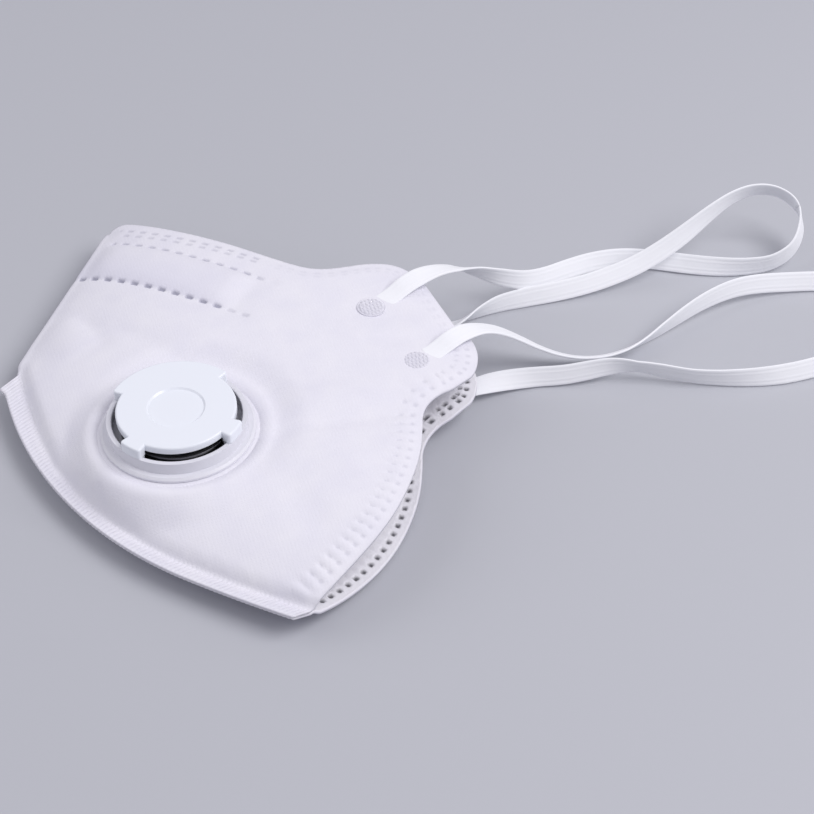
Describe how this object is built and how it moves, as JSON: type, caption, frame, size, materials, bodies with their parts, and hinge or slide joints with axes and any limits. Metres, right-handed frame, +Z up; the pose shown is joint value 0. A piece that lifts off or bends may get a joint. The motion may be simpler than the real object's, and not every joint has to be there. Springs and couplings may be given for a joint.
{
  "type": "flat-fold dust mask",
  "caption": "Disposable flat-fold dust mask, folded in half, with nose clip, exhalation valve, chin seam and elastic head straps welded to the ear lobes.",
  "frame": {"origin": "under the middle of the folded mask's outline, on the surface it lies on; the head straps are not counted", "axes": "+Y from the chin corner to the nose corner, +X from the tip of the nose ridge to the ear lobes, +Z up, out of the half that carries the valve"},
  "size_m": [0.2616, 0.1678, 0.0256],
  "materials": {
    "cover_fabric": "thermally bonded nonwoven, matt",
    "filter_fabric": "melt-blown fleece, matt",
    "foam": "soft open foam",
    "clip_metal": "mill finish",
    "valve_plastic": "moulded, half gloss",
    "diaphragm_rubber": "smooth silicone",
    "strap_elastic": "knitted elastic, satin"
  },
  "bodies": {
    "left_half": {"left_outer_cover": "cover_fabric", "left_filter_media": "filter_fabric", "left_inner_lining": "cover_fabric", "left_nose_foam": "foam", "left_nose_clip": "clip_metal", "chin_seam": "cover_fabric", "upper_left_weld": "cover_fabric", "lower_left_weld": "cover_fabric", "upper_strap_loop": "strap_elastic", "upper_strap_left_end": "strap_elastic", "lower_strap_loop": "strap_elastic", "lower_strap_left_end": "strap_elastic"},
    "right_half": {"right_outer_cover": "cover_fabric", "right_filter_media": "filter_fabric", "right_inner_lining": "cover_fabric", "right_nose_foam": "foam", "right_nose_clip": "clip_metal", "valve_base": "valve_plastic", "valve_backing_ring": "valve_plastic", "valve_cover": "valve_plastic", "upper_right_weld": "cover_fabric", "lower_right_weld": "cover_fabric", "upper_strap_right_end": "strap_elastic", "lower_strap_right_end": "strap_elastic"},
    "diaphragm": {"valve_diaphragm": "diaphragm_rubber"}
  },
  "joints": [
    {"name": "ridge_fold", "type": "hinge", "parent": "left_half", "child": "right_half", "pos_m": [-0.058, 0.0338, 0.00588], "axis": [-0.6421, -0.7661, -0.0289], "range_deg": [0, 60]},
    {"name": "diaphragm_lift", "type": "slide", "parent": "right_half", "child": "diaphragm", "axis": [-0.016, 0.03, 0.9994], "range_m": [0, 0.0012], "stiffness_N_per_m": 5}
  ]
}
